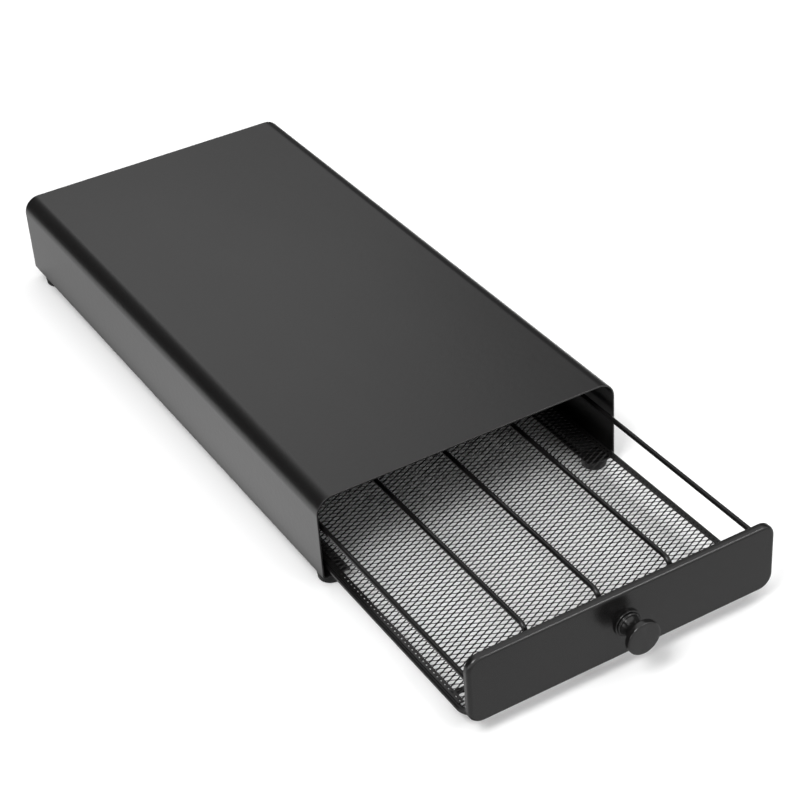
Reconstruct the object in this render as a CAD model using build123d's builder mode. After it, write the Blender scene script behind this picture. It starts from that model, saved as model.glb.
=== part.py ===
from build123d import *
import os

# Coffee pod drawer: a bent sheet-steel cover on four rubber feet, with a welded wire
# and mesh drawer that slides in it on two glides. Millimetres, +Z up,
# the drawer comes out towards -Y. It is modelled with the drawer partly open.
# The origin is at the middle of the base, with the drawer in that place.

# ---------------------------------------------------------------- driving dimensions
# cover
cover_width = 182.0
cover_length = 380.0
cover_height = 50.6
sheet = 1.0
top_radius = 10.0
bottom_radius = 2.5
ledge_width = 16.0

# feet
foot_height = 5.4
foot_radius = 7.3
foot_taper = 0.5
foot_edge_radius = 1.0
foot_recess_radius = 3.0
foot_recess_depth = 1.5
foot_side_inset = 8.3
foot_front_inset = 7.5
foot_rear_inset = 15.0

# glides, low strips on the ledges that the drawer's frame runs on
glide_width = 11.0
glide_thickness = 2.6
glide_setback = 12.0

# back panel
back_rim_depth = 9.0
back_rim_base = 7.0

# stop blocks, welded inside the cover's walls level with the top of the glides
stop_setback = 60.0
stop_length = 8.0
stop_height = 5.5

# drawer, and how far its front face stands out of the cover
drawer_open = 136.0
frame_wire = 3.2
rack_wire = 2.8
mesh_thickness = 0.8
mesh_bar = 3.2
mesh_rows = 11
mesh_columns_per_lane = 3
frame_corner_radius = 8.0
rail_height = 21.6
divider_height = 18.6
divider_spacing = 42.5
divider_setback = 18.5
front_bend_radius = 5.0
rear_bend_radius = 7.0
cross_wire_count = 2
cross_wire_spacing = 90.0
guard_height = 9.0

# front panel
panel_height = 39.6
panel_depth = 4.0
panel_corner_radius = 8.0
panel_edge_radius = 2.0

# knob
knob_flange_radius = 7.5
knob_flange_thickness = 1.4
knob_neck_radius = 4.8
knob_neck_flare = 0.9
knob_neck_length = 9.2
knob_head_radius = 9.3
knob_head_thickness = 3.6
knob_edge_radius = 0.8
screw_radius = 2.0
screw_grip = 7.5
screw_head_radius = 3.8
screw_head_height = 2.4
screw_head_edge = 1.0
screw_recess_width = 1.0
screw_recess_length = 4.4
screw_recess_depth = 1.4
washer_radius = 5.0
washer_thickness = 0.8

# clearances
frame_side_gap = 1.95
glide_gap = 0.3
panel_side_gap = 1.3
panel_glide_gap = 0.6
closed_gap = 0.5
lug_wall_gap = 0.6
stop_wire_gap = 0.5
screw_hole_gap = 0.2
screw_tip_gap = 1.0
thread_gap = 0.05

# ---------------------------------------------------------------- derived places
half_width = cover_width / 2
inner_half_width = half_width - sheet
cover_base = foot_height
cover_top = cover_base + cover_height
ledge_top = cover_base + sheet
glide_top = ledge_top + glide_thickness

knob_length = knob_flange_thickness + knob_neck_length + knob_head_thickness
cover_front = (drawer_open + knob_length - cover_length) / 2
cover_back = cover_front + cover_length
back_inside = cover_back - sheet

panel_front = cover_front - drawer_open
panel_back = panel_front + panel_depth
panel_half_width = inner_half_width - panel_side_gap
panel_base = glide_top + panel_glide_gap
panel_middle = panel_base + panel_height / 2

frame_radius = frame_wire / 2
rack_radius = rack_wire / 2
frame_half_width = inner_half_width - frame_side_gap
frame_x = frame_half_width - frame_radius
frame_z = glide_top + glide_gap + frame_radius
frame_top = frame_z + frame_radius
mesh_top = frame_top + mesh_thickness

tray_back = back_inside - closed_gap - drawer_open
# the front bar is welded to the rear edge of the panel's lower rim
bar_above_rim = frame_z - panel_base - sheet
front_bar_y = panel_back + (frame_radius ** 2 - bar_above_rim ** 2) ** 0.5
rear_bar_y = tray_back - frame_radius
lug_x = inner_half_width - lug_wall_gap
stop_inner = frame_half_width + stop_wire_gap

# the side rails are welded along the inside of the panel's side rims
rail_x = panel_half_width - sheet - rack_radius
rail_front = panel_front + panel_edge_radius
rail_z = mesh_top + rail_height
divider_z = mesh_top + divider_height
divider_y = panel_back + divider_setback
guard_y = rear_bar_y - rack_wire

foot_x = half_width - foot_side_inset
foot_front_y = cover_front + foot_front_inset
foot_rear_y = cover_back - foot_rear_inset

os.makedirs("parts", exist_ok=True)


def upright(y):
    """Vertical plane across the drawer at y: its local x is X and its local y is Z."""
    return Plane(origin=(0, y, 0), x_dir=(1, 0, 0), z_dir=(0, -1, 0))


def rounded_outline(width, height, upper_radius, lower_radius):
    """Rectangle standing on the local x axis, with its upper and lower corners rounded."""
    with BuildSketch() as outline:
        Rectangle(width, height, align=(Align.CENTER, Align.MIN))
        fillet(outline.vertices().group_by(Axis.Y)[-1], upper_radius)
        fillet(outline.vertices().group_by(Axis.Y)[0], lower_radius)
    return outline.sketch


def save(part, name):
    """Label a finished piece and write it under the same name."""
    part.part.label = name
    export_step(part.part, "parts/" + name + ".step")


# ---------------------------------------------------------------- cover
inner_width = cover_width - 2 * sheet
inner_height = cover_height - 2 * sheet
outer_outline = rounded_outline(cover_width, cover_height, top_radius, bottom_radius)
inner_outline = rounded_outline(inner_width, inner_height, top_radius - sheet, bottom_radius - sheet)

with BuildPart() as shell_cover:
    with BuildSketch(upright(cover_front)):
        with Locations((0, cover_base)):
            add(outer_outline)
            Rectangle(cover_width - 2 * ledge_width, 4 * sheet, mode=Mode.SUBTRACT)
        with Locations((0, ledge_top)):
            add(inner_outline, mode=Mode.SUBTRACT)
    extrude(amount=-cover_length)
save(shell_cover, "shell_cover")

# glides, from behind the mouth to the back panel, on the flat of each ledge
glide_x = inner_half_width - (bottom_radius - sheet) - glide_width / 2
glide_length = back_inside - cover_front - 2 * glide_setback
for glide_name, side in (("glide_left", -1), ("glide_right", 1)):
    with BuildPart() as glide:
        with Locations((side * glide_x, cover_front + glide_setback, ledge_top)):
            Box(glide_width, glide_length, glide_thickness, align=(Align.CENTER, Align.MIN, Align.MIN))
    save(glide, glide_name)

# stop blocks, which catch the ends of the drawer's rear bar
stop_y = cover_front + stop_setback
stop_width = inner_half_width - stop_inner
for stop_name, side in (("stop_left", -1), ("stop_right", 1)):
    with BuildPart() as stop_block:
        with Locations((side * (stop_inner + stop_width / 2), stop_y, glide_top)):
            Box(stop_width, stop_length, stop_height, align=(Align.CENTER, Align.MIN, Align.MIN))
    save(stop_block, stop_name)

# back panel: a plate in the rear mouth of the cover, with a rim turned forward
with BuildPart() as back_panel:
    with BuildSketch(upright(cover_back)):
        with Locations((0, ledge_top)):
            add(inner_outline)
    extrude(amount=back_rim_depth)
    with BuildSketch(upright(back_inside)):
        with Locations((0, ledge_top)):
            add(rounded_outline(inner_width - 2 * sheet, inner_height - sheet, top_radius - 2 * sheet, sheet))
    extrude(amount=back_rim_depth, mode=Mode.SUBTRACT)
    # the rim stops above the rear bar's lugs
    with Locations((0, back_inside, ledge_top)):
        Box(cover_width, back_rim_depth, glide_thickness + back_rim_base,
            align=(Align.CENTER, Align.MAX, Align.MIN), mode=Mode.SUBTRACT)
save(back_panel, "back_panel")

# ---------------------------------------------------------------- feet
foot_places = {
    "foot_front_left": (-foot_x, foot_front_y),
    "foot_front_right": (foot_x, foot_front_y),
    "foot_rear_left": (-foot_x, foot_rear_y),
    "foot_rear_right": (foot_x, foot_rear_y),
}
for foot_name, foot_place in foot_places.items():
    foot_centre = (foot_place[0], foot_place[1], 0)
    with BuildPart() as foot:
        with BuildSketch(Plane(origin=foot_centre, x_dir=(1, 0, 0), z_dir=(0, -1, 0))):
            with BuildLine():
                Polyline(
                    (0, foot_recess_depth),
                    (foot_recess_radius, foot_recess_depth),
                    (foot_recess_radius, 0),
                    (foot_radius - foot_taper, 0),
                    (foot_radius, foot_height),
                    (0, foot_height),
                    close=True,
                )
            make_face()
        revolve(axis=Axis(foot_centre, (0, 0, 1)))
        base_circles = foot.edges().filter_by(GeomType.CIRCLE).group_by(Axis.Z)[0]
        fillet(base_circles.sort_by(SortBy.RADIUS)[-1], foot_edge_radius)
    save(foot, foot_name)

# ---------------------------------------------------------------- drawer floor
# frame wire: one U-shaped wire, with its front bar behind the panel
with BuildPart() as tray_frame:
    with BuildLine() as frame_path:
        FilletPolyline(
            (-frame_x, rear_bar_y - frame_radius, frame_z),
            (-frame_x, front_bar_y, frame_z),
            (frame_x, front_bar_y, frame_z),
            (frame_x, rear_bar_y - frame_radius, frame_z),
            radius=frame_corner_radius,
        )
    with BuildSketch(Plane(origin=frame_path.line @ 0, z_dir=frame_path.line % 0)):
        Circle(frame_radius)
    sweep()
save(tray_frame, "tray_frame")


def straight_wire(start, end, radius):
    """Round wire between two points."""
    with BuildPart() as wire:
        with BuildLine() as path:
            Line(start, end)
        with BuildSketch(Plane(origin=path.line @ 0, z_dir=path.line % 0)):
            Circle(radius)
        sweep()
    return wire


# the rear bar's ends stand out past the frame, and meet the stop blocks
rear_bar = straight_wire((-lug_x, rear_bar_y, frame_z), (lug_x, rear_bar_y, frame_z), frame_radius)
save(rear_bar, "rear_bar")

# cross wires lie between the frame's sides, level with its top, and carry the mesh
cross_z = frame_top - rack_radius
cross_x = frame_x - frame_radius
cross_places = {"cross_wire_front": divider_y}
for number in range(1, cross_wire_count + 1):
    cross_places["cross_wire_" + str(number)] = rear_bar_y - number * cross_wire_spacing
for cross_name, cross_y in cross_places.items():
    cross_wire = straight_wire((-cross_x, cross_y, cross_z), (cross_x, cross_y, cross_z), rack_radius)
    save(cross_wire, cross_name)

# mesh floor, here as a sheet with a coarse grid of openings, laid over the frame
# to the middle of the frame's wire; a bar of the grid lies under each row of wire legs
mesh_back = rear_bar_y + frame_radius
mesh_column = divider_spacing / mesh_columns_per_lane
mesh_row = (rear_bar_y - divider_y) / mesh_rows
column_count = 2 * int(frame_x // mesh_column)
front_opening = divider_y - front_bar_y - mesh_bar
with BuildPart() as mesh_floor:
    with BuildSketch(Plane.XY.offset(frame_top)) as mesh_outline:
        with Locations((0, front_bar_y)):
            Rectangle(2 * frame_x, mesh_back - front_bar_y, align=(Align.CENTER, Align.MIN))
        fillet(mesh_outline.vertices().group_by(Axis.Y)[0], frame_corner_radius)
        with Locations((0, (divider_y + rear_bar_y) / 2)):
            with GridLocations(mesh_column, mesh_row, column_count, mesh_rows):
                Rectangle(mesh_column - mesh_bar, mesh_row - mesh_bar, mode=Mode.SUBTRACT)
        with Locations((0, (front_bar_y + divider_y) / 2)):
            with GridLocations(mesh_column, front_opening, column_count - 2, 1):
                Rectangle(mesh_column - mesh_bar, front_opening, mode=Mode.SUBTRACT)
    extrude(amount=mesh_thickness)
save(mesh_floor, "mesh_floor")

# ---------------------------------------------------------------- wire rack
# side rails run from inside the front panel to the rear, and bend down to the floor
for rail_name, side in (("rail_left", -1), ("rail_right", 1)):
    with BuildPart() as rail:
        with BuildLine() as rail_path:
            FilletPolyline(
                (side * rail_x, rail_front, rail_z),
                (side * rail_x, rear_bar_y, rail_z),
                (side * rail_x, rear_bar_y, mesh_top),
                radius=rear_bend_radius,
            )
        with BuildSketch(Plane(origin=rail_path.line @ 0, z_dir=rail_path.line % 0)):
            Circle(rack_radius)
        sweep()
    save(rail, rail_name)

# dividers stand on the floor like long staples, one between each two lanes
divider_names = ("divider_left", "divider_centre", "divider_right")
for number, divider_name in enumerate(divider_names):
    divider_x = (number - 1) * divider_spacing
    with BuildPart() as divider:
        with BuildLine() as divider_path:
            FilletPolyline(
                (divider_x, divider_y, mesh_top),
                (divider_x, divider_y, divider_z),
                (divider_x, rear_bar_y, divider_z),
                (divider_x, rear_bar_y, mesh_top),
                radius=[front_bend_radius, rear_bend_radius],
            )
        with BuildSketch(Plane(origin=divider_path.line @ 0, z_dir=divider_path.line % 0)):
            Circle(rack_radius)
        sweep()
    save(divider, divider_name)

# guard wire across the front of the rear legs
guard_x = rail_x + rack_radius
guard_z = mesh_top + guard_height
rear_guard = straight_wire((-guard_x, guard_y, guard_z), (guard_x, guard_y, guard_z), rack_radius)
save(rear_guard, "rear_guard")

# ---------------------------------------------------------------- front panel
with BuildPart() as front_panel:
    with BuildSketch(upright(panel_back)):
        with Locations((0, panel_middle)):
            RectangleRounded(2 * panel_half_width, panel_height, panel_corner_radius)
    extrude(amount=panel_depth)
    fillet(front_panel.faces().sort_by(Axis.Y)[0].edges(), panel_edge_radius)
    offset(amount=-sheet, openings=front_panel.faces().sort_by(Axis.Y)[-1])
    with Locations(upright(panel_front)):
        with Locations((0, panel_middle)):
            Hole(screw_radius + screw_hole_gap)
save(front_panel, "front_panel")

# ---------------------------------------------------------------- knob and its screw
neck_start = -knob_flange_thickness
neck_middle = neck_start - knob_neck_length / 2
neck_end = neck_start - knob_neck_length
neck_end_radius = knob_neck_radius + knob_neck_flare

# half section of the knob: local x is the radius, and local y is negative out of the panel
with BuildPart() as knob:
    with BuildSketch(Plane(origin=(0, panel_front, panel_middle))):
        with BuildLine():
            Polyline(
                (neck_end_radius, neck_end),
                (knob_head_radius, neck_end),
                (knob_head_radius, -knob_length),
                (0, -knob_length),
                (0, 0),
                (knob_flange_radius, 0),
                (knob_flange_radius, neck_start),
                (neck_end_radius, neck_start),
            )
            ThreePointArc(
                (neck_end_radius, neck_start),
                (knob_neck_radius, neck_middle),
                (neck_end_radius, neck_end),
            )
        make_face()
    revolve(axis=Axis((0, panel_front, panel_middle), (0, 1, 0)))
    fillet(knob.edges().filter_by(GeomType.CIRCLE).group_by(Axis.Y)[0], knob_edge_radius)
    with Locations(Plane(origin=(0, panel_front, panel_middle), x_dir=(1, 0, 0), z_dir=(0, 1, 0))):
        Hole(screw_radius + thread_gap, depth=screw_grip + screw_tip_gap)
save(knob, "knob")

with BuildPart() as knob_washer:
    with BuildSketch(upright(panel_front + sheet)):
        with Locations((0, panel_middle)):
            Circle(washer_radius)
            Circle(screw_radius + screw_hole_gap, mode=Mode.SUBTRACT)
    extrude(amount=-washer_thickness)
save(knob_washer, "knob_washer")

screw_seat = panel_front + sheet + washer_thickness
with BuildPart() as knob_screw:
    with BuildSketch(upright(screw_seat)):
        with Locations((0, panel_middle)):
            Circle(screw_head_radius)
    extrude(amount=-screw_head_height)
    fillet(knob_screw.edges().filter_by(GeomType.CIRCLE).sort_by(Axis.Y)[-1], screw_head_edge)
    with BuildSketch(upright(screw_seat)):
        with Locations((0, panel_middle)):
            Circle(screw_radius)
    extrude(amount=screw_seat - panel_front + screw_grip)
    with BuildSketch(upright(screw_seat + screw_head_height)):
        with Locations((0, panel_middle)):
            Rectangle(screw_recess_length, screw_recess_width)
            Rectangle(screw_recess_width, screw_recess_length)
    extrude(amount=screw_recess_depth, mode=Mode.SUBTRACT)
save(knob_screw, "knob_screw")
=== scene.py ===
import math

import bmesh
import bpy
import numpy as np
from mathutils import Matrix, Vector


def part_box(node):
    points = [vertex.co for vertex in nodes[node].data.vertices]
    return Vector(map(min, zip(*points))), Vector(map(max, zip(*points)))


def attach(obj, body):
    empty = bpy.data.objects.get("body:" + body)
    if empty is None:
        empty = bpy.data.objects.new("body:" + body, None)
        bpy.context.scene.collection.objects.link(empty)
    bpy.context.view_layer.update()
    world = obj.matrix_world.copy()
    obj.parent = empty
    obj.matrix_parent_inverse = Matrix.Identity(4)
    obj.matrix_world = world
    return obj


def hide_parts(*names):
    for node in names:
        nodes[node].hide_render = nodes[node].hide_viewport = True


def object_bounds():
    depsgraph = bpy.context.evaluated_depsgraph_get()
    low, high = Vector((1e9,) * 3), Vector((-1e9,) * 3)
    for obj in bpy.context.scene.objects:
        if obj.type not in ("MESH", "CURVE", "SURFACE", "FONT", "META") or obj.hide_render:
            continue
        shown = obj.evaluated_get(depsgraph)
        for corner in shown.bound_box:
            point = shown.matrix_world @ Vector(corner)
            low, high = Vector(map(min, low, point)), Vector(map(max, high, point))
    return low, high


# A coffee pod drawer: sheet steel cover on rubber feet, with a wire and mesh drawer.
# Metres, Z up, and the drawer comes out towards -Y.

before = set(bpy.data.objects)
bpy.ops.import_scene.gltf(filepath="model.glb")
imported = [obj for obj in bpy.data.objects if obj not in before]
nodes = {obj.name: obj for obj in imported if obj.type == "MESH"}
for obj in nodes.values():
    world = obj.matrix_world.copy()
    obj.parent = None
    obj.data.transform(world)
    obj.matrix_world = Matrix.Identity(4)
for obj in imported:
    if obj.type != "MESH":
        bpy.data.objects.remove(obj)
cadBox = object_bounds()
millimetre = 0.001
bpy.context.scene.view_settings.view_transform = "Standard"
print("frame loaded:", len(nodes), "nodes")


# camera
cameraDials = {
    "place": (-0.43551, -0.84314, 0.67333),
    "azimuth": 0.4986,      # radians, from +Y towards +X
    "elevation": 0.6078,    # radians, looking down
    "roll": -0.0730,
    "lens": 91.99,
    "sensor": 36.0,
    "clip": (0.01, 50.0),
}


def makeCamera(dials):
    a, e, r = dials["azimuth"], dials["elevation"], dials["roll"]
    forward = Vector((math.sin(a) * math.cos(e), math.cos(a) * math.cos(e), -math.sin(e)))
    level = Vector((math.cos(a), -math.sin(a), 0.0))
    above = level.cross(forward)
    right = level * math.cos(r) + above * math.sin(r)
    up = above * math.cos(r) - level * math.sin(r)
    data = bpy.data.cameras.new("camera")
    data.lens = dials["lens"]
    data.sensor_width = dials["sensor"]
    data.sensor_fit = "HORIZONTAL"
    data.clip_start, data.clip_end = dials["clip"]
    camera = bpy.data.objects.new("camera", data)
    bpy.context.scene.collection.objects.link(camera)
    turn = Matrix((right, up, -forward)).transposed().to_4x4()
    camera.matrix_world = Matrix.Translation(dials["place"]) @ turn
    bpy.context.scene.camera = camera


makeCamera(cameraDials)


# small helpers for materials
def addNode(tree, kind, **values):
    node = tree.nodes.new(kind)
    for name, value in values.items():
        setattr(node, name, value)
    return node


def mathNode(tree, operation, first, second=None, third=None, clamp=False):
    node = addNode(tree, "ShaderNodeMath", operation=operation, use_clamp=clamp)
    for index, value in enumerate((first, second, third)):
        if value is None:
            continue
        if isinstance(value, (int, float)):
            node.inputs[index].default_value = value
        else:
            tree.links.new(value, node.inputs[index])
    return node.outputs[0]


def newGroup(name, inputs, outputs):
    group = bpy.data.node_groups.new(name, "ShaderNodeTree")
    for way, sockets in (("INPUT", inputs), ("OUTPUT", outputs)):
        for title, kind in sockets:
            group.interface.new_socket(title, in_out=way, socket_type=kind)
    return group, addNode(group, "NodeGroupInput"), addNode(group, "NodeGroupOutput")


# orange-peel and fine grain of a powder coat, and its slow drift in tone
powderMix = {
    "detail": {"Grain Size": 2.0, "Peel Size": 1.0, "Drift Size": 3.0},
    "peelRelief": 1.4,              # height of the peel beside the grain
    "toneShares": (0.35, 0.65),     # grain and drift in the tone
    "speckFrom": 0.74,              # grain above this is a glossy speck
    "speckGain": 9.0,
}


def makePowderGroup(dials):
    group, given, result = newGroup(
        "powderCoat",
        [("Vector", "NodeSocketVector"), ("Grain Size", "NodeSocketFloat"),
         ("Peel Size", "NodeSocketFloat"), ("Drift Size", "NodeSocketFloat")],
        [("Height", "NodeSocketFloat"), ("Tone", "NodeSocketFloat"), ("Speck", "NodeSocketFloat")])
    links = group.links

    def noise(sizeSocket):
        scale = mathNode(group, "DIVIDE", 1.0, given.outputs[sizeSocket])
        node = addNode(group, "ShaderNodeTexNoise", noise_dimensions="3D")
        node.inputs["Detail"].default_value = dials["detail"][sizeSocket]
        links.new(given.outputs["Vector"], node.inputs["Vector"])
        links.new(scale, node.inputs["Scale"])
        return node.outputs["Fac"]

    grain = noise("Grain Size")
    peel = noise("Peel Size")
    drift = noise("Drift Size")
    links.new(mathNode(group, "MULTIPLY_ADD", peel, dials["peelRelief"], grain), result.inputs["Height"])
    grainShare, driftShare = dials["toneShares"]
    slow = mathNode(group, "MULTIPLY", drift, driftShare)
    links.new(mathNode(group, "MULTIPLY_ADD", grain, grainShare, slow), result.inputs["Tone"])
    speck = mathNode(group, "SUBTRACT", grain, dials["speckFrom"])
    speck = mathNode(group, "MULTIPLY", speck, dials["speckGain"], clamp=True)
    links.new(speck, result.inputs["Speck"])
    return group


# light handling marks: thin, stretched streaks that only change the gloss
handlingStreaks = {
    "stretch": (9.0, 3.0, 9.0),
    "turn": 0.5,                    # radians, about Z
    "scale": 1.6,
    "detail": 4.0,
    "distortion": 0.8,
    "middle": 0.5,                  # noise value that changes nothing
}


def makeHandlingGroup(dials):
    group, given, result = newGroup(
        "handling",
        [("Vector", "NodeSocketVector"), ("Amount", "NodeSocketFloat")],
        [("Mask", "NodeSocketFloat")])
    links = group.links
    stretch = addNode(group, "ShaderNodeMapping")
    stretch.inputs["Scale"].default_value = dials["stretch"]
    stretch.inputs["Rotation"].default_value = (0.0, 0.0, dials["turn"])
    links.new(given.outputs["Vector"], stretch.inputs["Vector"])
    cloud = addNode(group, "ShaderNodeTexNoise")
    cloud.inputs["Scale"].default_value = dials["scale"]
    cloud.inputs["Detail"].default_value = dials["detail"]
    cloud.inputs["Distortion"].default_value = dials["distortion"]
    links.new(stretch.outputs[0], cloud.inputs["Vector"])
    raised = mathNode(group, "SUBTRACT", cloud.outputs["Fac"], dials["middle"])
    scaled = mathNode(group, "MULTIPLY", raised, given.outputs["Amount"])
    links.new(mathNode(group, "ADD", scaled, dials["middle"], clamp=True), result.inputs["Mask"])
    return group


powderGroup = makePowderGroup(powderMix)
handlingGroup = makeHandlingGroup(handlingStreaks)


def groupNode(tree, group, **values):
    node = addNode(tree, "ShaderNodeGroup")
    node.node_tree = group
    for title, value in values.items():
        node.inputs[title.replace("_", " ")].default_value = value
    return node


def newMaterial(name):
    material = bpy.data.materials.new(name)
    material.use_nodes = True
    tree = material.node_tree
    shader = tree.nodes["Principled BSDF"]
    return material, tree, shader


def colourMix(tree, factor, dark, light):
    # a Mix node has its colour sockets after those for numbers and vectors
    mix = addNode(tree, "ShaderNodeMix", data_type="RGBA")
    mix.inputs[6].default_value = (*dark, 1.0)
    mix.inputs[7].default_value = (*light, 1.0)
    tree.links.new(factor, mix.inputs[0])
    return mix.outputs[2]


def roughen(tree, shader, value, limits):
    # roughness = low + value (high - low)
    low, high = limits
    rough = mathNode(tree, "MULTIPLY_ADD", value, high - low, low)
    tree.links.new(rough, shader.inputs["Roughness"])
    return rough


def bumpFrom(tree, shader, height, strength, relief):
    bump = addNode(tree, "ShaderNodeBump")
    bump.inputs["Strength"].default_value = strength
    bump.inputs["Distance"].default_value = relief
    tree.links.new(height, bump.inputs["Height"])
    tree.links.new(bump.outputs[0], shader.inputs["Normal"])


# black coats on steel: one recipe, with its own values for sheet, wire and mesh
def makeCoat(name, dials):
    material, tree, shader = newMaterial(name)
    links = tree.links
    where = addNode(tree, "ShaderNodeTexCoord").outputs["Object"]
    powder = groupNode(tree, powderGroup, Grain_Size=dials["grain"], Peel_Size=dials["peel"],
                       Drift_Size=dials["drift"])
    marks = groupNode(tree, handlingGroup, Amount=dials["marks"])
    links.new(where, powder.inputs["Vector"])
    links.new(where, marks.inputs["Vector"])
    links.new(colourMix(tree, powder.outputs["Tone"], dials["dark"], dials["light"]),
              shader.inputs["Base Color"])
    rough = roughen(tree, shader, marks.outputs["Mask"], dials["roughness"])
    links.new(mathNode(tree, "MULTIPLY_ADD", powder.outputs["Speck"], dials["speckGloss"], rough),
              shader.inputs["Roughness"])
    bumpFrom(tree, shader, powder.outputs["Height"], dials["bump"], dials["relief"])
    shader.inputs["IOR"].default_value = dials["ior"]
    return material


sheetDials = {
    "dark": (0.0030, 0.0028, 0.0028),
    "light": (0.0080, 0.0076, 0.0076),
    "roughness": (0.26, 0.34),
    "speckGloss": -0.06,            # change of roughness on a speck
    "grain": 0.0009,                # metres, as are peel, drift and relief
    "peel": 0.0032,
    "drift": 0.09,
    "marks": 0.6,
    "bump": 0.5,
    "relief": 0.00005,
    "ior": 1.52,
}
panelDials = dict(sheetDials, drift=0.06, roughness=(0.22, 0.30), ior=1.46)
wireDials = dict(sheetDials, grain=0.0006, peel=0.002, roughness=(0.20, 0.28),
                 relief=0.00003, ior=1.40)
meshDials = dict(sheetDials, grain=0.0005, peel=0.0012, roughness=(0.22, 0.32),
                 relief=0.00002, ior=1.40)
knobDials = dict(sheetDials, grain=0.0007, peel=0.003, drift=0.02, roughness=(0.12, 0.18), bump=0.3,
                 relief=0.00002, ior=1.48)

coverCoat = makeCoat("coverCoat", sheetDials)
panelCoat = makeCoat("panelCoat", panelDials)
wireCoat = makeCoat("wireCoat", wireDials)
meshCoat = makeCoat("meshCoat", meshDials)
knobCoat = makeCoat("knobCoat", knobDials)


# moulded rubber of the feet, smooth and glossy with faint mould bloom, and duller nylon of the glides
rubberDials = {
    "dark": (0.004, 0.004, 0.004),
    "light": (0.010, 0.010, 0.010),
    "roughness": (0.18, 0.34),
    "grain": 0.0005,
    "peel": 0.002,
    "bloom": 0.006,
    "bump": 0.25,
    "relief": 0.00004,
}
nylonDials = dict(rubberDials, light=(0.018, 0.018, 0.018), roughness=(0.42, 0.55), bloom=0.012)


def makeMoulded(name, dials):
    material, tree, shader = newMaterial(name)
    links = tree.links
    where = addNode(tree, "ShaderNodeTexCoord").outputs["Object"]
    powder = groupNode(tree, powderGroup, Grain_Size=dials["grain"], Peel_Size=dials["peel"],
                       Drift_Size=dials["bloom"])
    links.new(where, powder.inputs["Vector"])
    links.new(colourMix(tree, powder.outputs["Tone"], dials["dark"], dials["light"]),
              shader.inputs["Base Color"])
    roughen(tree, shader, powder.outputs["Tone"], dials["roughness"])
    bumpFrom(tree, shader, powder.outputs["Height"], dials["bump"], dials["relief"])
    return material


# plated steel of the screw and washer, with fine turning rings about the screw's axis
platedDials = {
    "dark": (0.42, 0.42, 0.44),
    "light": (0.60, 0.60, 0.62),
    "roughness": (0.24, 0.36),
    "grain": 0.0004,
    "peel": 0.0015,
    "drift": 0.004,
    "rings": 5200.0,                # radians of a ring's wave to a metre
    "bump": 0.25,
    "relief": 0.00001,
}


def makePlated(dials, centre):
    material, tree, shader = newMaterial("platedSteel")
    links = tree.links
    where = addNode(tree, "ShaderNodeTexCoord").outputs["Object"]
    shift = addNode(tree, "ShaderNodeMapping")
    shift.inputs["Location"].default_value = (-centre[0], 0.0, -centre[2])
    links.new(where, shift.inputs["Vector"])
    split = addNode(tree, "ShaderNodeSeparateXYZ")
    links.new(shift.outputs[0], split.inputs[0])
    across = mathNode(tree, "MULTIPLY", split.outputs["X"], split.outputs["X"])
    square = mathNode(tree, "MULTIPLY_ADD", split.outputs["Z"], split.outputs["Z"], across)
    ring = mathNode(tree, "SINE", mathNode(tree, "MULTIPLY", mathNode(tree, "SQRT", square), dials["rings"]))
    powder = groupNode(tree, powderGroup, Grain_Size=dials["grain"], Peel_Size=dials["peel"],
                       Drift_Size=dials["drift"])
    links.new(where, powder.inputs["Vector"])
    links.new(colourMix(tree, powder.outputs["Tone"], dials["dark"], dials["light"]),
              shader.inputs["Base Color"])
    roughen(tree, shader, powder.outputs["Tone"], dials["roughness"])
    bumpFrom(tree, shader, ring, dials["bump"], dials["relief"])
    shader.inputs["Metallic"].default_value = 1.0
    return material


footRubber = makeMoulded("footRubber", rubberDials)
glideNylon = makeMoulded("glideNylon", nylonDials)
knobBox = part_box("knob")
knobCentre = [(low + high) / 2 for low, high in zip(*knobBox)]
platedSteel = makePlated(platedDials, knobCentre)
print("materials made")


# pieces from arrays; each stands for one node of the frame
def makePiece(name, points, faces, material, body, node, smooth=True):
    mesh = bpy.data.meshes.new(name)
    mesh.from_pydata(np.asarray(points, dtype=float).tolist(), [], faces)
    mesh.polygons.foreach_set("use_smooth", np.full(len(mesh.polygons), smooth))
    mesh.materials.append(material)
    mesh.update()
    piece = bpy.data.objects.new(name, mesh)
    bpy.context.scene.collection.objects.link(piece)
    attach(piece, body)
    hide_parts(node)
    return piece


def boxOf(node):
    # a node's lowest and highest corners, in millimetres
    return [np.asarray(corner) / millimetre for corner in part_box(node)]


def gridFaces(rows, columns, closed, start=0):
    # quads between row i and i + 1; closed joins the last column to the first
    i = np.arange(rows - 1)[:, None]
    j = np.arange(columns if closed else columns - 1)[None, :]
    k = (j + 1) % columns
    here, ahead = i * columns, (i + 1) * columns
    quads = np.stack([here + j, here + k, ahead + k, ahead + j], axis=-1)
    return (quads.reshape(-1, 4) + start).tolist()


def capFaces(first, count, flip):
    # one face over a ring of points, turned round where it closes the start of a tube
    ring = list(range(first, first + count))
    return [ring[::-1] if flip else ring]


def turned(profile, sides, centre, axis):
    # point(t, a) = centre + r(t) (cos a, sin a) across the axis + h(t) along it
    profile = np.asarray(profile, dtype=float)
    angle = np.linspace(0, 2 * np.pi, sides, endpoint=False)
    r, h = profile[:, 0][:, None], profile[:, 1][:, None]
    first, second = r * np.cos(angle), r * np.sin(angle)
    along = h * np.ones_like(angle)
    stacks = {"z": (first, second, along), "-y": (first, -along, second)}
    grid = np.stack(stacks[axis], axis=-1) + np.asarray(centre)
    last = (len(profile) - 1) * sides
    faces = gridFaces(len(profile), sides, True) + capFaces(0, sides, True) + capFaces(last, sides, False)
    return grid.reshape(-1, 3), faces


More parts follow.
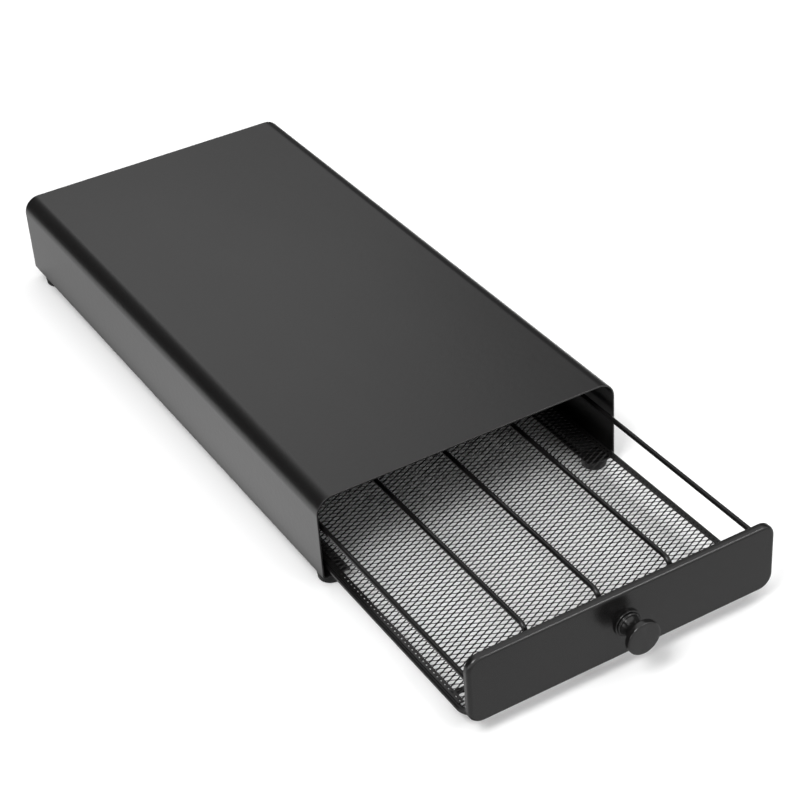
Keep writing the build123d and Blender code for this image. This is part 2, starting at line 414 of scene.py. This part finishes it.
def rounded(corners, steps):
    # corners are (radius, height, fillet); each fillet is the arc that touches both of its runs
    points = []
    spots = np.asarray([corner[:2] for corner in corners], dtype=float)
    for index, here in enumerate(spots):
        fillet = corners[index][2]
        if fillet <= 0 or index in (0, len(corners) - 1):
            points.append(here)
            continue
        back, ahead = spots[index - 1] - here, spots[index + 1] - here
        back, ahead = back / np.linalg.norm(back), ahead / np.linalg.norm(ahead)
        half = math.acos(np.clip(back @ ahead, -1, 1)) / 2
        reach = fillet / math.tan(half)
        middle = here + (back + ahead) / np.linalg.norm(back + ahead) * fillet / math.sin(half)
        begin, end = here + back * reach - middle, here + ahead * reach - middle
        sweep = math.pi - 2 * half
        for t in np.linspace(0, 1, steps + 1):
            arc = math.sin((1 - t) * sweep) * begin + math.sin(t * sweep) * end
            points.append(middle + arc / math.sin(sweep))
    return np.asarray(points)


# a merged copy of a bent or pressed sheet, with its cut edges eased by a small bevel
easeDials = {
    "width": {"shell_cover": 0.00028, "back_panel": 0.00025, "front_panel": 0.00028},   # metres
    "weld": 0.000004,      # metres; points nearer than this are one
    "flat": 0.4,           # degrees; faces that bend less are one
    "sharp": 40.0,         # degrees; edges that bend more are eased
    "segments": 2,
    "areaWeight": 50,
}


def easedSheet(node, name, material, body, dials):
    mesh = nodes[node].data.copy()
    mesh.name = name
    mesh.materials.clear()
    mesh.materials.append(material)
    work = bmesh.new()
    work.from_mesh(mesh)
    bmesh.ops.remove_doubles(work, verts=work.verts, dist=dials["weld"])
    flat = math.radians(dials["flat"])
    bmesh.ops.dissolve_limit(work, angle_limit=flat, verts=work.verts, edges=work.edges)
    bmesh.ops.recalc_face_normals(work, faces=work.faces)
    for edge in work.edges:
        edge.smooth = True
    work.to_mesh(mesh)
    work.free()
    mesh.polygons.foreach_set("use_smooth", np.ones(len(mesh.polygons), dtype=bool))
    mesh.polygons.foreach_set("material_index", np.zeros(len(mesh.polygons), dtype=np.int32))
    piece = bpy.data.objects.new(name, mesh)
    bpy.context.scene.collection.objects.link(piece)
    bevel = piece.modifiers.new("easedEdge", "BEVEL")
    bevel.width = dials["width"][node]
    bevel.segments = dials["segments"]
    bevel.limit_method = "ANGLE"
    bevel.angle_limit = math.radians(dials["sharp"])
    bevel.use_clamp_overlap = True
    # large flat faces keep their own normal, so no shade runs across them from the bends
    flatFaces = piece.modifiers.new("flatFaces", "WEIGHTED_NORMAL")
    flatFaces.mode = "FACE_AREA"
    flatFaces.weight = dials["areaWeight"]
    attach(piece, body)
    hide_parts(node)
    return piece


easedSheet("shell_cover", "bentCover", coverCoat, "shell", easeDials)
easedSheet("back_panel", "rearPlate", coverCoat, "shell", easeDials)
easedSheet("front_panel", "pressedFront", panelCoat, "drawer", easeDials)
print("sheets made")


# expanded mesh floor
meshFloor = {
    "longWay": 6.8,        # mm, diamond pitch across the drawer
    "shortWay": 3.3,       # mm, diamond pitch along the drawer
    "strand": 0.60,        # mm, strand width
    "gauge": 0.36,         # mm, strand thickness
    "knuckle": 1.1,        # mm, length of the joint between two strands
    "overlap": 0.55,       # share of a strand's width left between the middles of two that meet
    "tilt": 24.0,          # degrees, how far each strand is twisted out of flat
    "rising": 1.2,         # width factor of the runs that go back towards the right,
    "falling": 0.75,       # of the runs that come forward,
    "meeting": 1.1,        # and of the knuckles
    "level": 0.05,         # slope below which a stretch is a knuckle
    "cornerRadius": 8.0,   # mm, front corners
    "firstRow": 0.6,       # mm, least depth counted for a row in the corner
    "tuck": 0.3,           # mm, how far the strands run under the hem
    "shortest": 0.2,       # mm, least length of a strand's last stretch
    "hem": 1.6,            # mm, how far the flattened edge shows inside the frame wire
    "hemHole": (0.42, 0.75),   # mm, half sizes of the slits left in the hem, across and along
    "slitInset": 0.12,     # mm, from the wire's inner edge to the middle of the slits
    "hemRoom": (0.04, 0.12),   # mm, left under and over the hem in the floor's thickness
    "margin": 0.02,        # mm, left free at the floor's edges
}


def tiltedStrand(s, wave, y, amplitude, centre, thick, dials):
    # section corner (i, j) = middle + turn(tilt) (i width, j gauge / 2), with i, j = -1 or 1
    slope = np.gradient(wave, s)
    leaning = np.abs(slope) > dials["level"]
    tilt = (np.radians(dials["tilt"]) * np.sign(slope) * leaning)[:, None]
    factor = np.where(leaning, np.where(slope > 0, dials["rising"], dials["falling"]), dials["meeting"])
    width = (dials["strand"] / 2 * factor)[:, None]
    side, rise = np.array([-1, 1, 1, -1]), np.array([-1, -1, 1, 1])
    half = dials["gauge"] / 2
    across = side * width * np.cos(tilt) - rise * half * np.sin(tilt)
    above = side * width * np.sin(tilt) + rise * half * np.cos(tilt)
    grid = np.empty((len(s), 4, 3))
    grid[..., 0] = (centre[0] + s)[:, None]
    grid[..., 1] = (y + amplitude * wave)[:, None] + across
    grid[..., 2] = centre[2] + np.clip(above, -thick / 2, thick / 2)
    return grid.reshape(-1, 3)


def hemCells(side, startY, endY, inner, outer, slit, bottom, top, dials):
    # cell n: an outer rectangle and a slit, rings of eight points at y = start + (n + 1/2) step, each at the
    # bottom and the top, joined above, below, round the slit's wall and round the outside
    cells = int(round((endY - startY) / dials["shortWay"]))
    step = (endY - startY) / cells
    halfAcross, halfAlong = dials["hemHole"]
    ring = np.array([(-1, -1), (0, -1), (1, -1), (1, 0), (1, 1), (0, 1), (-1, 1), (-1, 0)], dtype=float)
    middles = (startY + (np.arange(cells) + 0.5) * step)[:, None, None]
    middle, half = (outer + inner) / 2, (outer - inner) / 2
    cell = np.empty((cells, 2, 2, 8, 3))
    cell[..., 0, :, 0] = side * (middle + half * ring[:, 0])
    cell[..., 1, :, 0] = side * (slit + halfAcross * ring[:, 0])
    cell[..., 0, :, 1] = middles + step / 2 * ring[:, 1]
    cell[..., 1, :, 1] = middles + halfAlong * ring[:, 1]
    cell[:, 0, ..., 2] = bottom
    cell[:, 1, ..., 2] = top
    here = np.arange(8)
    after = (here + 1) % 8
    over, overAfter = here + 16, after + 16
    quads = np.concatenate([
        np.stack([over, overAfter, overAfter + 8, over + 8], axis=-1),
        np.stack([here + 8, after + 8, after, here], axis=-1),
        np.stack([over + 8, overAfter + 8, after + 8, here + 8], axis=-1),
        np.stack([here, after, overAfter, over], axis=-1)])
    if side < 0:
        quads = quads[:, ::-1]
    starts = 32 * np.arange(cells)[:, None, None]
    return cell.reshape(-1, 3), (starts + quads).reshape(-1, 4)


def makeMeshFloor(dials):
    # strand k: x = s, y = y0 + k w / 2 - (-1)^k amplitude z(s / L), where w is the short way, L the long way and
    # z a trapezoid wave that is flat at the knuckles; each strand is a flat bar, tilted about X one way on
    # rising runs and the other way on falling ones
    low, high = boxOf("mesh_floor")
    frameLow, frameHigh = boxOf("tray_frame")
    longWay, corner = dials["longWay"], dials["cornerRadius"]
    centre = (low + high) / 2
    thick = high[2] - low[2]
    halfRun = (high[0] - low[0]) / 2
    wire = frameHigh[2] - frameLow[2]
    wireInside = frameHigh[0] - wire
    inner = wireInside - dials["hem"]
    # breakpoints of one period, with the wave's value at each
    flat = dials["knuckle"] / 2
    onePeriod = np.array([-flat, flat, longWay / 2 - flat, longWay / 2 + flat])
    periods = int((high[0] - low[0]) // longWay)
    shifts = (np.arange(-periods // 2 - 1, periods // 2 + 2) * longWay)[:, None]
    breaks = (shifts + onePeriod).ravel()
    waves = np.tile([1.0, 1.0, -1.0, -1.0], len(shifts))
    pitch = dials["shortWay"] / 2
    amplitude = (pitch - dials["strand"] * dials["overlap"]) / 2
    count = int((high[1] - low[1] - dials["strand"]) // pitch)
    firstY = centre[1] - (count - 1) * pitch / 2
    allPoints, allFaces, total = [], [], 0
    for k in range(count):
        y = firstY + k * pitch
        depth = y - low[1]
        reach = inner + dials["tuck"]
        if depth < corner:
            rest = corner - max(depth, dials["firstRow"])
            reach = halfRun - corner + math.sqrt(corner ** 2 - rest ** 2)
        inside = np.abs(breaks) < reach - dials["shortest"]
        s = np.concatenate([[-reach], breaks[inside], [reach]])
        wave = np.interp(s, breaks, waves) * (1 if k % 2 else -1)
        allPoints.append(tiltedStrand(s, wave, y, amplitude, centre, thick, dials))
        allFaces += gridFaces(len(s), 4, True, total)
        allFaces += capFaces(total, 4, True)
        total += len(s) * 4
        allFaces += capFaces(total - 4, 4, False)
    under, over = dials["hemRoom"]
    for side in (-1, 1):
        points, quads = hemCells(
            side, low[1] + corner, high[1] - dials["margin"], inner, high[0] - dials["margin"],
            wireInside - dials["slitInset"], centre[2] - thick / 2 + under, centre[2] + thick / 2 - over, dials)
        allPoints.append(points)
        allFaces += (quads + total).tolist()
        total += len(points)
    points = np.concatenate(allPoints) * millimetre
    return makePiece("expandedFloor", points, allFaces, meshCoat, "drawer", "mesh_floor",
                     smooth=False)


floorMesh = makeMeshFloor(meshFloor)
print("mesh floor made:", len(floorMesh.data.polygons), "faces")


# turned knob, in mm from the panel's face
knobShape = {
    "flange": 7.5, "flangeThick": 1.4, "flangeEdge": 0.3, "flangeFoot": 0.15,
    "rim": 0.75, "rimEdge": 0.12, "groove": 0.45, "grooveEdge": 0.1, "grooveLean": 0.1,
    "collar": 6.3, "collarRise": 0.5, "collarEdge": 0.3,
    "neckFoot": (0.1, 0.15),     # how far the base ends inside and before the neck's first row
    "neckStart": 0.9, "neckEnd": 5.7, "neck": 4.8, "neckRows": 13,
    "neckShort": (0.5, 0.4),     # how far the neck's last row and the head's first stay before the head
    "head": 9.3, "headThick": 3.6, "headEdge": 0.75, "headBack": 0.9, "headRoot": (0.25, 0.3),
    "faceInset": 2.2, "faceEdge": 0.4, "faceDish": (0.02, 0.1),
    "steps": (5, 7),             # to a fillet, on the base and on the head
    "sides": 96,
}
poleRadius = 0.02      # mm, a turned piece's last ring, closed by a cap


def makeKnob(dials):
    low, high = boxOf("knob")
    length = high[1] - low[1]
    end, head, flange, collar = dials["neckEnd"], dials["head"], dials["flange"], dials["collar"]
    ridge, rim = dials["flangeThick"], flange - dials["rim"]
    ledge, lean, edge = ridge - dials["groove"], dials["grooveLean"], dials["grooveEdge"]
    neckTop = length - dials["headThick"]
    neckStart = ridge + dials["neckStart"]
    footIn, footBack = dials["neckFoot"]
    lastShort, firstShort = dials["neckShort"]
    baseSteps, headSteps = dials["steps"]
    # neck radius = end - (end - waist) sin(pi t)
    t = np.linspace(0, 1, dials["neckRows"])
    waist = end - (end - dials["neck"]) * np.sin(np.pi * t)
    neck = np.stack([waist, neckStart + (neckTop - neckStart - lastShort) * t], axis=-1)
    base = rounded([
        (poleRadius, 0.0, 0), (flange, 0.0, dials["flangeFoot"]), (flange, ridge, dials["flangeEdge"]),
        (rim, ridge, dials["rimEdge"]), (rim - lean, ledge, edge), (collar + lean, ledge, edge),
        (collar, ridge + dials["collarRise"], dials["collarEdge"]),
        (end - footIn, neckStart - footBack, 0)], baseSteps)
    rootStep, rootFillet = dials["headRoot"]
    dish, middleDish = dials["faceDish"]
    top = rounded([
        (end, neckTop - firstShort, 0), (end + rootStep, neckTop, rootFillet),
        (head, neckTop, dials["headBack"]), (head, length, dials["headEdge"]),
        (head - dials["faceInset"], length - dish, dials["faceEdge"]),
        (poleRadius, length - middleDish, 0)], headSteps)
    profile = np.concatenate([base, neck, top]) * millimetre
    centre = (knobCentre[0], knobBox[1][1], knobCentre[2])
    points, faces = turned(profile, dials["sides"], centre, "-y")
    return makePiece("turnedKnob", points, faces, knobCoat, "drawer", "knob")


makeKnob(knobShape)
print("knob made")


# rubber feet, in mm
footShape = {
    "top": 7.3, "shoulder": 0.35, "band": 0.9, "base": 6.8, "baseEdge": 1.0,
    "recess": 3.0, "recessDepth": 1.5, "smallEdge": 0.3,
    "steps": 6,
    "sides": 72,
}


def makeFoot(node, dials):
    low, high = boxOf(node)
    tall = high[2] - low[2]
    top, edge = dials["top"], dials["smallEdge"]
    profile = rounded([
        (poleRadius, dials["recessDepth"], 0), (dials["recess"], dials["recessDepth"], edge),
        (dials["recess"], 0.0, edge), (dials["base"], 0.0, dials["baseEdge"]),
        (top, tall - dials["band"], edge), (top, tall, dials["shoulder"]),
        (poleRadius, tall, 0)], dials["steps"]) * millimetre
    middle = (low + high) / 2 * millimetre
    points, faces = turned(profile, dials["sides"], (middle[0], middle[1], low[2] * millimetre), "z")
    name = node.replace("foot_", "rubberFoot_")
    return makePiece(name, points, faces, footRubber, "shell", node)


for footNode in ("foot_front_left", "foot_front_right", "foot_rear_left", "foot_rear_right"):
    makeFoot(footNode, footShape)
print("feet made")


# carried-over nodes take the coats too
dressing = (
    (wireCoat, ("tray_frame", "rear_bar", "cross_wire_front", "cross_wire_1", "cross_wire_2", "rear_guard",
                "rail_left", "rail_right", "divider_left", "divider_centre", "divider_right")),
    (platedSteel, ("knob_screw", "knob_washer")),
    (coverCoat, ("stop_left", "stop_right")),
    (glideNylon, ("glide_left", "glide_right")),
)
for material, dressedNodes in dressing:
    for node in dressedNodes:
        for spot in nodes[node].material_slots:
            spot.material = material
print("wires, stops and glides dressed")


# studio: pale floor and white surroundings to the camera; in reflections the floor glows, a painted reflection
# of a lit floor that is even near the object, darker under it in a painted shadow and darker away from it, the
# horizon is dim, two dark cards stand behind, on the left and the right, and bright walls stand on the left and
# on the camera's side
studio = {
    "floorColour": (0.96, 0.96, 0.96),
    "floorSize": 12.0,           # metres
    "floorRoughness": 0.9,
    "farFloor": 0.14,            # brightness that is left of the far floor in reflections,
    "farAway": (0.12, 0.45),     # metres from the object where the fade starts and ends
    "paintedShadowUnder": 0.22,          # painted shadow: brightness of the floor under the object in reflections,
    "contact": 0.009,            # and the width of the painted shadow's soft edge
    "mirrorFront": 0.76,         # the near floor's brightness in reflections, at the front,
    "mirrorSide": 1.22,          # beside the mouth
    "mirrorRear": 0.84,          # and at the rear,
    "frontSpan": (-0.27, -0.12),     # with the places along Y between which it changes
    "rearSpan": (-0.12, 0.26),
    "zenith": 1.75,
    "mirrorZenith": 0.85,        # share of the zenith's extra light that shows in reflections
    "shoulder": 0.62,            # brightness halfway up
    "horizon": 0.25,
    "lowSpan": (0.30, 0.58),     # heights of the steps from horizon to shoulder, and to zenith, as sines
    "highSpan": (0.45, 0.85),
    # dark cards: direction seen from above, start and end of the soft edge, height, and the brightness left
    "cards": ({"side": (-0.75, 0.66), "edge": (0.36, 0.62), "height": (0.62, 0.85), "left": 0.06},
              {"side": (0.866, 0.500), "edge": (0.65, 0.82), "height": (0.60, 0.85), "left": 0.12}),
    # bright walls, in reflections only
    "walls": ({"side": (-1.0, 0.0), "edge": (0.84, 0.97), "level": 3.2},
              {"side": (0.0, -1.0), "edge": (0.10, 0.50), "level": 1.7}),
    "backdrop": 1.0,
    "softboxes": {
        "keyBox": {"place": (-1.25, -0.75, 1.9), "aim": (0.0, -0.1, 0.0), "size": (0.8, 0.8), "power": 30.0},
        "edgeBox": {"place": (0.75, -1.35, 1.0), "aim": (0.0, -0.25, 0.04), "size": (0.45, 0.25), "power": 5.0},
        "rearBox": {"place": (0.75, 2.15, 1.45), "aim": (0.0, 0.0, 0.0), "size": (1.1, 0.8), "power": 1.6},
    },
}


def stepNode(tree, value, span, first=0.0, last=1.0):
    # a smooth step from first to last as the value goes over the span
    start, end = span
    node = addNode(tree, "ShaderNodeMapRange", interpolation_type="SMOOTHSTEP")
    for title, number in (("From Min", start), ("From Max", end), ("To Min", first), ("To Max", last)):
        node.inputs[title].default_value = number
    tree.links.new(value, node.inputs["Value"])
    return node.outputs["Result"]


def makeFloor(dials):
    half = dials["floorSize"] / 2
    corners = [(-half, -half, 0), (half, -half, 0), (half, half, 0), (-half, half, 0)]
    mesh = bpy.data.meshes.new("studioFloor")
    mesh.from_pydata(corners, [], [(0, 1, 2, 3)])
    floor = bpy.data.objects.new("studioFloor", mesh)
    bpy.context.scene.collection.objects.link(floor)
    material, tree, shader = newMaterial("studioFloor")
    links = tree.links
    shader.inputs["Base Color"].default_value = (*dials["floorColour"], 1.0)
    shader.inputs["Roughness"].default_value = dials["floorRoughness"]
    shader.inputs["Specular IOR Level"].default_value = 0.0
    # distance on the floor from the object's outline, away = sqrt(dx^2 + dy^2) with dx, dy at least 0
    split = addNode(tree, "ShaderNodeSeparateXYZ")
    links.new(addNode(tree, "ShaderNodeTexCoord").outputs["Object"], split.inputs[0])
    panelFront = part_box("front_panel")[0][1]
    gaps = []
    for axis, start, end in (("X", cadBox[0][0], cadBox[1][0]), ("Y", panelFront, cadBox[1][1])):
        middle = mathNode(tree, "SUBTRACT", split.outputs[axis], float(start + end) / 2)
        outside = mathNode(tree, "SUBTRACT", mathNode(tree, "ABSOLUTE", middle), float(end - start) / 2)
        gaps.append(mathNode(tree, "MAXIMUM", outside, 0.0))
    lengthSquare = mathNode(tree, "MULTIPLY", gaps[1], gaps[1])
    away = mathNode(tree, "SQRT", mathNode(tree, "MULTIPLY_ADD", gaps[0], gaps[0], lengthSquare))
    far = stepNode(tree, away, dials["farAway"], 1.0, dials["farFloor"])
    # painted shadow: in reflections the floor is darker inside the object's outline, with a soft edge
    paintedContactShadow = stepNode(tree, away, (0.0, dials["contact"]), dials["paintedShadowUnder"], 1.0)
    # brightness in reflections along the length: front, then beside the mouth, then rear
    rearDrop = dials["mirrorRear"] - dials["mirrorSide"]
    front = stepNode(tree, split.outputs["Y"], dials["frontSpan"], dials["mirrorFront"], dials["mirrorSide"])
    rear = stepNode(tree, split.outputs["Y"], dials["rearSpan"], 0.0, rearDrop)
    keep = mathNode(tree, "MULTIPLY", far, paintedContactShadow)
    # an emission seen only by glossy rays: a painted reflection of a lit floor, fading away from the object,
    # with a painted shadow under it
    paintedFloorReflection = addNode(tree, "ShaderNodeEmission")
    links.new(mathNode(tree, "MULTIPLY", mathNode(tree, "ADD", front, rear), keep), paintedFloorReflection.inputs["Strength"])
    choose = addNode(tree, "ShaderNodeMixShader")
    links.new(addNode(tree, "ShaderNodeLightPath").outputs["Is Glossy Ray"], choose.inputs[0])
    links.new(shader.outputs[0], choose.inputs[1])
    links.new(paintedFloorReflection.outputs[0], choose.inputs[2])
    links.new(choose.outputs[0], tree.nodes["Material Output"].inputs["Surface"])
    mesh.materials.append(material)


def towardSide(tree, split, side):
    # how far a direction points to a side, both seen from above
    across = mathNode(tree, "MULTIPLY", split.outputs["X"], side[0])
    return mathNode(tree, "MULTIPLY_ADD", split.outputs["Y"], side[1], across)


def makeSky(dials):
    world = bpy.data.worlds.new("studioSky")
    bpy.context.scene.world = world
    world.use_nodes = True
    tree = world.node_tree
    tree.nodes.clear()
    links = tree.links
    output = addNode(tree, "ShaderNodeOutputWorld")
    shine = addNode(tree, "ShaderNodeBackground")
    seen = addNode(tree, "ShaderNodeBackground")
    seen.inputs["Strength"].default_value = dials["backdrop"]
    split = addNode(tree, "ShaderNodeSeparateXYZ")
    links.new(addNode(tree, "ShaderNodeTexCoord").outputs["Generated"], split.inputs[0])
    # brightness by height: horizon to shoulder to zenith
    height = split.outputs["Z"]
    low = stepNode(tree, height, dials["lowSpan"], dials["horizon"], dials["shoulder"])
    high = stepNode(tree, height, dials["highSpan"], 0.0, dials["zenith"] - dials["shoulder"])
    path = addNode(tree, "ShaderNodeLightPath")
    glossy = path.outputs["Is Glossy Ray"]
    kept = mathNode(tree, "MULTIPLY_ADD", glossy, dials["mirrorZenith"] - 1.0, 1.0)
    bright = mathNode(tree, "MULTIPLY_ADD", high, kept, low)
    for card in dials["cards"]:
        sector = stepNode(tree, towardSide(tree, split, card["side"]), card["edge"])
        under = stepNode(tree, height, card["height"], 1.0, 0.0)
        cover = mathNode(tree, "MULTIPLY", sector, under)
        drop = mathNode(tree, "SUBTRACT", bright, card["left"])
        bright = mathNode(tree, "SUBTRACT", bright, mathNode(tree, "MULTIPLY", drop, cover))
    for wall in dials["walls"]:
        sector = stepNode(tree, towardSide(tree, split, wall["side"]), wall["edge"])
        lit = mathNode(tree, "MULTIPLY", sector, glossy)
        gain = mathNode(tree, "SUBTRACT", wall["level"], bright)
        bright = mathNode(tree, "MULTIPLY_ADD", gain, lit, bright)
    links.new(bright, shine.inputs["Strength"])
    choose = addNode(tree, "ShaderNodeMixShader")
    links.new(path.outputs["Is Camera Ray"], choose.inputs[0])
    links.new(shine.outputs[0], choose.inputs[1])
    links.new(seen.outputs[0], choose.inputs[2])
    links.new(choose.outputs[0], output.inputs["Surface"])


def makeSoftbox(name, dials):
    data = bpy.data.lights.new(name, "AREA")
    data.shape = "RECTANGLE"
    data.size, data.size_y = dials["size"]
    data.energy = dials["power"]
    lamp = bpy.data.objects.new(name, data)
    bpy.context.scene.collection.objects.link(lamp)
    lamp.location = dials["place"]
    aim = Vector(dials["aim"]) - Vector(dials["place"])
    lamp.rotation_euler = aim.to_track_quat("-Z", "Y").to_euler()


makeFloor(studio)
makeSky(studio)
for boxName, boxDials in studio["softboxes"].items():
    makeSoftbox(boxName, boxDials)
print("studio made")
